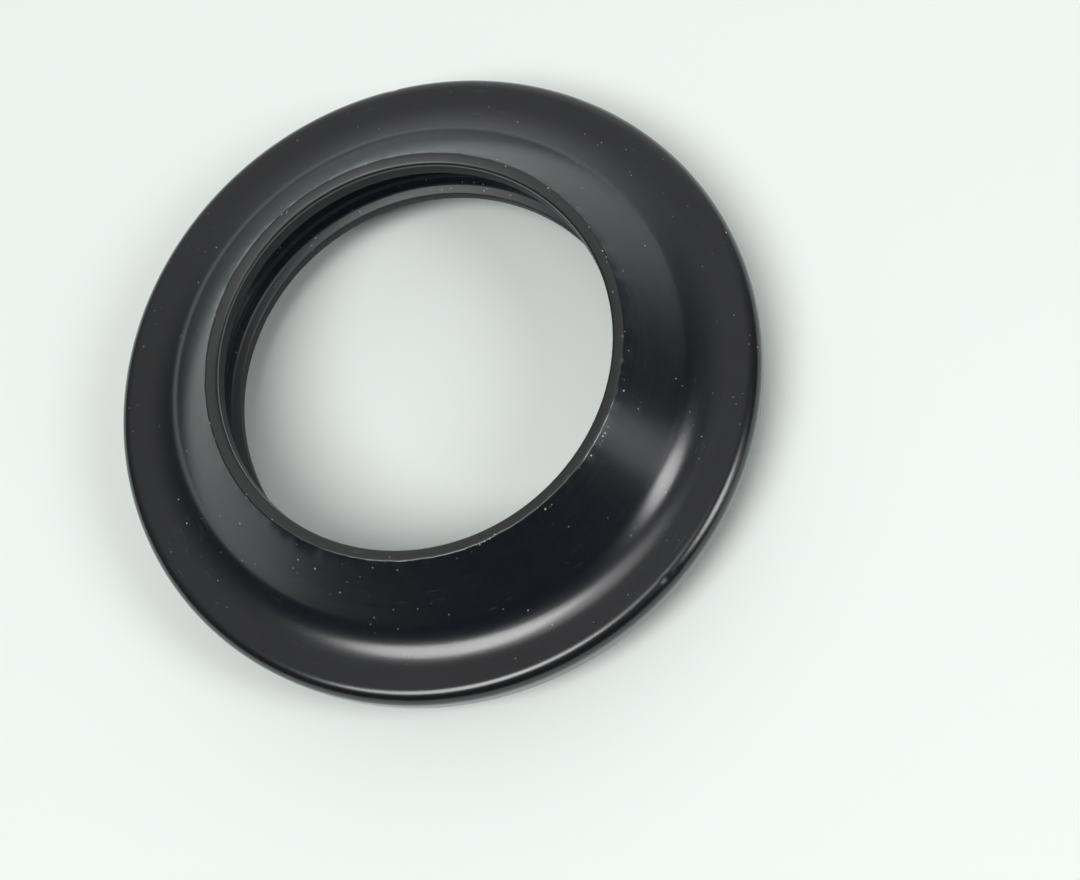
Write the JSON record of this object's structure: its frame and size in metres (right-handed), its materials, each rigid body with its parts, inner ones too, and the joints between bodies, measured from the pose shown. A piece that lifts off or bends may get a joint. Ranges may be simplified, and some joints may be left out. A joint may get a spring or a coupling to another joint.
{
  "type": "fork dust seal",
  "caption": "Round black rubber dust seal for a motorbike fork, with a press-in body, a flange with a rounded rim, a cone, a wiping lip over an undercut groove and a small inner lip below it.",
  "frame": {"origin": "centre of the bore, in the plane of the press-in body's flat end, which the seal rests on", "axes": "+Z along the bore, from the press-in body towards the wiping lip"},
  "size_m": [0.0596, 0.0596, 0.0142],
  "materials": {
    "seal_rubber": "satin black moulded rubber with light dust"
  },
  "bodies": {
    "root": {"dust_seal": "seal_rubber"}
  },
  "joints": []
}
